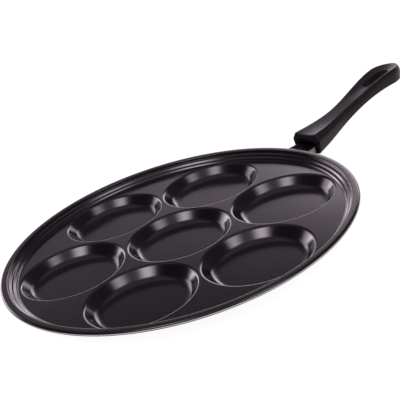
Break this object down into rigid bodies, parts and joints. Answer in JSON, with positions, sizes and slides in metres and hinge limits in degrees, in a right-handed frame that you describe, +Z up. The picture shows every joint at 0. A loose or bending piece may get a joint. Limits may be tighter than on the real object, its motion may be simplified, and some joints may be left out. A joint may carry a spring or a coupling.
{
  "type": "pancake pan",
  "caption": "Shallow round pan with round wells for small pancakes, and a long moulded handle with a hanging slot.",
  "frame": {"origin": "centre of the pan, on the plane that its wells rest on", "axes": "+Z up out of the wells, +X along the handle, away from the pan"},
  "size_m": [0.3979, 0.2598, 0.0355],
  "materials": {
    "nonstick_coating": "smooth black non-stick coating, semi-gloss",
    "arm_steel": "plain pressed steel, satin",
    "handle_resin": "black moulded resin, satin",
    "plated_steel": "zinc-plated steel"
  },
  "bodies": {
    "root": {"pan_body": "nonstick_coating", "handle_bracket": "arm_steel", "handle": "handle_resin", "handle_screw": "plated_steel", "screw_washer": "plated_steel", "arm_nut": "plated_steel"}
  },
  "joints": []
}
